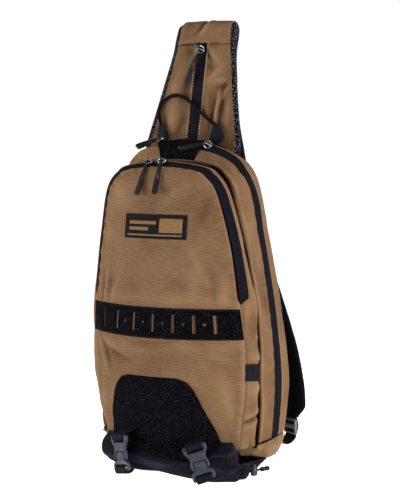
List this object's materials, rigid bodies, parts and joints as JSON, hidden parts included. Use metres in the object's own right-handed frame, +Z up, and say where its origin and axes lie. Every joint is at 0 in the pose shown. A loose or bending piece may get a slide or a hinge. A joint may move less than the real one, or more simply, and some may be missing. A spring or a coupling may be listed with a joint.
{
  "type": "sling pack",
  "caption": "Brown canvas sling pack with black trim, a slotted band, a loop-fabric field, a base pouch with side-release buckles and one wide padded strap.",
  "frame": {"origin": "inside of the bend at the top of the strap, where a hook carries the pack", "axes": "+Z up, -Y out of the pack's front, +X towards the corner where the strap's lower end is sewn on"},
  "size_m": [0.2822, 0.2091, 0.6373],
  "materials": {
    "canvas": "matt brown canvas with a fine weave",
    "webbing": "black woven webbing and pouch cloth",
    "loop_cloth": "black napped loop fabric",
    "spacer_mesh": "black spacer mesh over foam",
    "zip_tape": "black coil zip tape",
    "badge_cloth": "plain black woven patch with a tan edge",
    "grey_plastic": "moulded grey acetal",
    "pull_rubber": "dark grey moulded rubber",
    "nickel": "nickel-plated zip sliders",
    "cordage": "black braided cord"
  },
  "bodies": {
    "root": {"front_gusset": "canvas", "main_zip": "zip_tape", "rear_gusset": "canvas", "floor_panel": "canvas", "divider_panel": "canvas", "back_panel": "spacer_mesh", "front_panel": "canvas", "pocket_gusset": "canvas", "pocket_zip": "zip_tape", "pocket_floor": "canvas", "slotted_band": "loop_cloth", "badge": "badge_cloth", "loop_field": "loop_cloth", "side_tab": "webbing", "top_yoke": "loop_cloth", "strap_pad": "spacer_mesh", "strap_face_left": "canvas", "strap_face_right": "canvas", "strap_zip": "zip_tape", "strap_cap": "canvas", "strap_end_webbing": "webbing", "strap_buckle": "grey_plastic", "anchor_webbing": "webbing", "base_pouch": "webbing", "draw_cord": "cordage", "cord_lock": "grey_plastic", "cord_end": "cordage", "buckle_left_plug": "grey_plastic", "buckle_left_socket": "grey_plastic", "base_webbing_left_upper": "webbing", "base_webbing_left_lower": "webbing", "buckle_right_plug": "grey_plastic", "buckle_right_socket": "grey_plastic", "base_webbing_right_upper": "webbing", "base_webbing_right_lower": "webbing", "pocket_left_slider": "nickel", "pocket_left_pull": "pull_rubber", "pocket_right_slider": "nickel", "pocket_right_pull": "pull_rubber", "main_left_slider": "nickel", "main_left_pull": "pull_rubber", "main_right_slider": "nickel", "main_right_pull": "pull_rubber", "strap_slider": "nickel", "strap_pull": "pull_rubber", "haul_loop": "cordage", "haul_tab_left": "webbing", "haul_tab_right": "webbing"}
  },
  "joints": []
}
